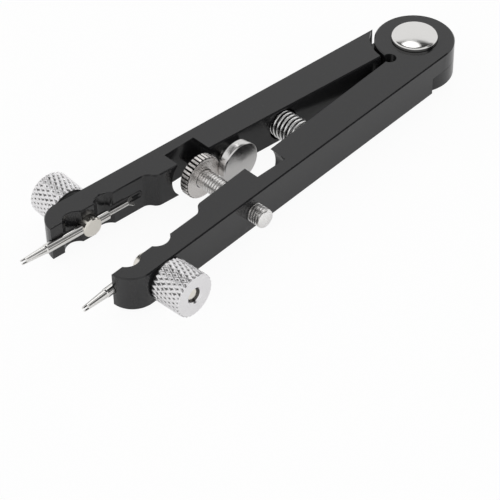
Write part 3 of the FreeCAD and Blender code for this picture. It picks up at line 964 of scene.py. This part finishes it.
@dataclass
class OpeningSpring:
    """The coil spring between the arms."""

    wire: float = 0.75
    turns: float = 11.0

    def build(self) -> None:
        """Builds the spring between the arms."""
        low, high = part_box("opening_spring")
        middle = node_middle("opening_spring")
        axis = Axis(Vector((low[0], middle.y, middle.z)), Vector((1, 0, 0)))
        radius = (high[2] - low[2]) / 2 / MM
        bm = coil(radius, self.wire, (high[0] - low[0]) / MM, self.turns)
        bm.transform(axis.matrix())
        mesh = bpy.data.meshes.new("opening_spring_wire")
        bm.to_mesh(mesh)
        bm.free()
        mesh.polygons.foreach_set("use_smooth", [True] * len(mesh.polygons))
        mesh.set_sharp_from_angle(angle=math.radians(50))
        # Painted shade on the inner side of the wire, between the coils.
        painted_shade = PaintedShade(radius - 0.3 * self.wire, radius - 0.65 * self.wire)
        mesh.materials.append(BrightMetal(
            "bright spring wire", axis, (0.95, 0.95, 0.94), 0.2, 0.3, 0.02,
            painted_shade=painted_shade).material())
        piece = bpy.data.objects.new("opening_spring_wire", mesh)
        bpy.context.scene.collection.objects.link(piece)
        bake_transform(piece)
        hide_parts("opening_spring")
        LOG.info("opening_spring_wire: %d faces", len(mesh.polygons))


@dataclass
class TipClamp:
    """The clamp on one arm: cross-drilled stud, spring, washer and knurled thumb nut."""

    side: Side
    radius: float = 5.75
    gap: float = 0.05
    chamfer: float = 0.35
    sink: float = 2.3
    bore: float = 1.53
    diamonds: int = 28
    rows: int = 6
    knurl_deep: float = 0.3
    crest: float = 0.12
    head: float = 2.65
    head_long: float = 4.6
    head_chamfer: float = 0.3
    rod: float = 1.5
    rod_dome: float = 0.4
    tip_hole: float = 1.25
    tip_out: float = 3.75

    def nut(self, length: float) -> bmesh.types.BMesh:
        """Makes the thumb nut with its diamond knurl.

        Args:
            length: Length of the nut.

        Returns:
            The closed mesh, inner face at 0.
        """
        rim, inner = self.radius, self.radius - self.chamfer
        knurl = length - 2 * self.chamfer
        sides = [(rim, self.chamfer + knurl * row / self.rows) for row in range(self.rows + 1)]
        bm = lathe([(self.bore, 0), (inner, 0), *sides, (inner, length), (self.sink, length),
                    (self.bore, length - (self.sink - self.bore)), (self.bore, 0)],
                   2 * self.diamonds)
        for vert in bm.verts:
            if math.hypot(vert.co.x, vert.co.y) < rim - CLEAN_DISTANCE:
                continue
            place = round(math.atan2(vert.co.y, vert.co.x) / FULL_TURN * 2 * self.diamonds)
            row = round((vert.co.z - self.chamfer) / knurl * self.rows)
            if (place + row) % 2 == 0:
                vert.co.x *= 1 - self.knurl_deep / rim
                vert.co.y *= 1 - self.knurl_deep / rim
        peaks = [vert for vert in bm.verts
                 if math.hypot(vert.co.x, vert.co.y) > rim - CLEAN_DISTANCE]
        bmesh.ops.connect_verts(bm, verts=peaks, check_degenerate=True)
        ridges = [edge for edge in bm.edges
                  if edge.verts[0] in peaks and edge.verts[1] in peaks]
        bmesh.ops.bevel(bm, geom=ridges, offset=self.crest, offset_type="OFFSET",
                        affect="EDGES", segments=1, profile=0.5, material=-1,
                        clamp_overlap=True)
        close_up(bm)
        return bm

    def stud(self, length: float, hole: float) -> bmesh.types.BMesh:
        """Makes the stud with its cross hole, head face at 0.

        Args:
            length: Length of the whole stud.
            hole: Distance of the cross hole from the head's face.

        Returns:
            The closed mesh.
        """
        neck = length - self.rod_dome
        cap = dome_points(self.rod, self.rod_dome, length, [1.2, 0.9, 0.6, 0.3, 0.0])
        bm = lathe([(0, 0), (self.head - self.head_chamfer, 0), (self.head, self.head_chamfer),
                    (self.head, self.head_long), (self.rod, self.head_long), (self.rod, neck),
                    *cap], 48)
        tool = bmesh.new()
        bmesh.ops.create_cone(
            tool, cap_ends=True, segments=48, radius1=self.tip_hole, radius2=self.tip_hole,
            depth=3 * self.head, matrix=Matrix.Translation((0, 0, hole))
            @ Matrix.Rotation(math.pi / 2, 4, "Y"))
        carve(bm, tool)
        return bm

    def build(self) -> None:
        """Builds the clamp's pieces."""
        name = self.side.value
        axis = clamp_axis(self.side)
        reach = {}
        for part in ("thumb_nut", "clamp_stud", "clamp_washer"):
            mesh = frame["nodes"][f"{name}_{part}"].data
            spans = [(vert.co - axis.origin).dot(axis.direction) / MM for vert in mesh.vertices]
            reach[part] = (min(spans), max(spans))
        start, end = reach["thumb_nut"]
        bm = self.nut(end - start)
        seat = Axis(axis.at(start), axis.direction)
        bm.transform(seat.matrix())
        # Painted shade in the pits of the diamond knurl.
        painted_shade = PaintedShade(self.radius - 0.14, self.radius - 0.27, self.chamfer,
                      end - start - self.chamfer, (0.08, 0.076, 0.072))
        nickel = BrightMetal(name + " thumb nut nickel", seat, (0.87, 0.86, 0.87), 0.16, 0.28,
                             0.12, painted_shade=painted_shade)
        finish_piece(name + "_thumb_nut_knurled", bm, name + "_thumb_nut",
                     nickel.material(), (name + "_thumb_nut",), smooth=12.0)
        steel = BrightMetal(name + " clamp stud steel", axis, (0.80, 0.77, 0.71))
        inner, outer = reach["clamp_stud"]
        bm = self.stud(outer - inner, self.tip_out - inner)
        bm.transform(Axis(axis.at(inner), axis.direction).matrix())
        finish_piece(name + "_clamp_stud_turned", bm, name + "_clamp_stud",
                     steel.material(), (name + "_clamp_stud",))
        dress(name + "_clamp_washer", BlackSteel().material())
        dress(name + "_clamp_spring", steel.material())


@dataclass
class ForkTip:
    """The double-ended fork tip of one arm."""

    side: Side
    shank: float = 1.2
    neck: float = 0.58
    flare_edge: float = 0.5
    flare: float = 1.5
    shank_start: float = 7.5
    shank_end: float = 26.1
    shoulder: float = 0.3
    fork_root: float = 1.05
    fork_end: float = 0.66
    gap: float = 0.4
    front_gap: float = 1.4
    front_flat: float = 1.1
    front_thick: float = 0.9
    rear_gap: float = 0.9
    rear_thick: float = 0.66
    roll: float = 45.0

    def turned(self, long: float) -> bmesh.types.BMesh:
        """Turns the tip and mills its two forks.

        Args:
            long: Length of the tip.

        Returns:
            The closed mesh, rear end at 0.
        """
        mid = (self.flare_edge + self.flare) / 2
        bm = lathe([
            (0, 0), (self.shank - 0.05, 0), (self.shank, 0.05), (self.shank, self.flare_edge),
            (0.5 * self.shank + 0.42 * self.neck, mid), (self.neck, self.flare),
            (self.neck, self.shank_start), (self.shank - 0.1, self.shank_start),
            (self.shank, self.shank_start + 0.1), (self.shank, self.shank_end),
            (self.fork_root, self.shank_end + self.shoulder), (self.fork_end, long), (0, long)],
            48)
        wide = 4 * self.shank
        for deep, middle in ((2 * self.front_gap, long), (2 * self.rear_gap, 0.0)):
            carve(bm, bar((wide, self.gap, deep), (0, 0, middle)))
        ends = ((2 * self.front_flat, long, self.front_thick),
                (2 * self.flare, 0.0, self.rear_thick))
        for length, middle, thick in ends:
            for way in (1, -1):
                carve(bm, bar((wide, wide, length), (way * (wide + thick) / 2, 0, middle)))
        return bm

    def build(self) -> None:
        """Builds the tip."""
        name = self.side.value + "_tip"
        direction = Vector(joint(name + "_pull")["axis"]).normalized()
        middle = node_middle(name)
        spans = [(vert.co - middle).dot(direction) for vert in
                 frame["nodes"][name].data.vertices]
        axis = Axis(middle + direction * min(spans), direction)
        bm = self.turned((max(spans) - min(spans)) / MM)
        bm.transform(axis.matrix(self.roll))
        steel = BrightMetal(name + " hard steel", axis, (0.82, 0.81, 0.79), 0.06, 0.14, 0.05)
        finish_piece(name + "_polished", bm, name, steel.material(), (name,),
                     smooth=20.0)


@dataclass(frozen=True)
class Studio:
    """A light table under a large soft light, and the camera."""

    azimuth: float = 46.7066
    elevation: float = 42.7312
    roll: float = -1.3395
    right: float = 43.085
    up: float = 47.827
    distance: float = 544.36
    lens: float = 148.37
    table: float = 1.2
    glow: float = 0.35
    white: float = 0.9
    room: float = 0.05
    wall: float = 0.85
    ceiling_light: float = 2.2
    ceiling_way: tuple[float, float, float] = (-0.386, 0.364, 0.848)
    fill_light: float = 0.7
    fill_way: tuple[float, float, float] = (0.12, 0.50, 0.857)
    dark_way: tuple[float, float, float] = (0.67, 0.54, 0.52)
    zenith: float = 0.55

    def camera(self) -> None:
        """Sets the camera up."""
        turn, lift = math.radians(self.azimuth), math.radians(self.elevation)
        back = Vector((math.sin(turn) * math.cos(lift), -math.cos(turn) * math.cos(lift),
                       math.sin(lift)))
        right = Vector((math.cos(turn), math.sin(turn), 0))
        up = back.cross(right)
        tilt = math.radians(self.roll)
        across = math.cos(tilt) * right + math.sin(tilt) * up
        upward = -math.sin(tilt) * right + math.cos(tilt) * up
        place = (-self.right * across - self.up * upward + self.distance * back) * MM
        data = bpy.data.cameras.new("camera")
        data.lens, data.sensor_width, data.clip_start = self.lens, 36.0, 0.01
        camera = bpy.data.objects.new("camera", data)
        camera.matrix_world = (Matrix.Translation(place)
                               @ Matrix((across, upward, back)).transposed().to_4x4())
        bpy.context.scene.collection.objects.link(camera)
        bpy.context.scene.camera = camera

    def floor(self) -> None:
        """Lays the glowing white table that the tool lies on."""
        bm = bmesh.new()
        bmesh.ops.create_grid(bm, x_segments=8, y_segments=8, size=self.table)
        bmesh.ops.translate(bm, verts=bm.verts[:], vec=(0, -0.06, CAD_BOX[0][2] - 2e-5))
        mesh = bpy.data.meshes.new("table")
        bm.to_mesh(mesh)
        bm.free()
        material, pad, shader, where = start_material(
            "white table", 0.0, Roughness=0.8, Specular_IOR_Level=0.0,
            Emission_Color=(1, 1, 1, 1), Emission_Strength=self.glow)
        tone = pad.add("ShaderNodeTexNoise", {"Vector": where, "Scale": 8.0})
        shade = pad.spread(tone.outputs[0], 0.84, 0.88)
        color = pad.add("ShaderNodeCombineColor", {0: shade, 1: shade, 2: shade})
        pad.tree.links.new(color.outputs[0], shader.inputs["Base Color"])
        seen = pad.add("ShaderNodeLightPath").outputs["Is Camera Ray"]
        bright = pad.add("ShaderNodeEmission", {"Strength": 1.0})
        mixed = pad.add("ShaderNodeMixShader", {
            0: pad.math("MULTIPLY", seen, self.white), 1: shader.outputs[0],
            2: bright.outputs[0]})
        clear = pad.add("ShaderNodeBsdfTransparent")
        under = pad.add("ShaderNodeNewGeometry").outputs["Backfacing"]
        open_below = pad.add("ShaderNodeMixShader", {
            0: under, 1: mixed.outputs[0], 2: clear.outputs[0]})
        pad.tree.links.new(open_below.outputs[0],
                           pad.tree.nodes["Material Output"].inputs[0])
        mesh.materials.append(material)
        table = bpy.data.objects.new("table", mesh)
        bpy.context.scene.collection.objects.link(table)

    @staticmethod
    def patch(pad: NodePad, where: bpy.types.NodeSocket, middle: tuple, outer: float,
              inner: float) -> bpy.types.NodeSocket:
        """Masks a round patch of the room.

        Args:
            pad: The world's nodes.
            where: Direction in the room.
            middle: Direction of the patch's middle.
            outer: Cosine at which the patch starts.
            inner: Cosine at which it is full.

        Returns:
            The mask.
        """
        near = pad.add("ShaderNodeVectorMath", {0: where, 1: middle}, operation="DOT_PRODUCT")
        return pad.spread(near.outputs["Value"], 0.0, 1.0, outer, inner)

    def light(self) -> None:
        """Lights the room with bright walls and one large soft light overhead."""
        world = bpy.data.worlds.new("room")
        world.use_nodes = True
        pad = NodePad(world.node_tree)
        back = world.node_tree.nodes["Background"]
        back.inputs["Color"].default_value = (1, 1, 1, 1)
        where = pad.add("ShaderNodeTexCoord").outputs["Generated"]
        height = pad.add("ShaderNodeSeparateXYZ", {0: where}).outputs["Z"]
        band = pad.spread(height, 1.0, 0.0, 0.73, 0.77)
        dark = self.patch(pad, where, self.dark_way, 0.95, 0.98)
        soft = self.patch(pad, where, self.ceiling_way, 0.988, 0.9954)
        fill = self.patch(pad, where, self.fill_way, 0.965, 0.985)
        walls = pad.math("MULTIPLY", band, pad.math("SUBTRACT", 1.0, dark))
        zenith = pad.spread(height, 0.0, self.zenith, 0.92, 0.965)
        level = pad.math("MULTIPLY_ADD", walls, self.wall, pad.math("ADD", zenith, self.room))
        level = pad.math("MULTIPLY_ADD", soft, self.ceiling_light, level)
        level = pad.math("MULTIPLY_ADD", fill, self.fill_light, level)
        seen = pad.add("ShaderNodeLightPath").outputs["Is Camera Ray"]
        level = pad.math("MAXIMUM", level, seen)
        pad.tree.links.new(level, back.inputs["Strength"])
        bpy.context.scene.world = world

    def build(self) -> None:
        """Sets up the camera, the table and the light."""
        self.camera()
        self.floor()
        self.light()
        bpy.context.scene.view_settings.view_transform = "Standard"


def main() -> None:
    """Builds the pliers and the studio."""
    logging.basicConfig(level=logging.INFO, format="%(message)s")
    Studio().build()
    for side in Side:
        Arm(side).build()
    Pivot().build()
    WheelStop().build()
    DiscStop().build()
    OpeningSpring().build()
    for side in Side:
        TipClamp(side).build()
        ForkTip(side).build()


if __name__ == "__main__":
    main()
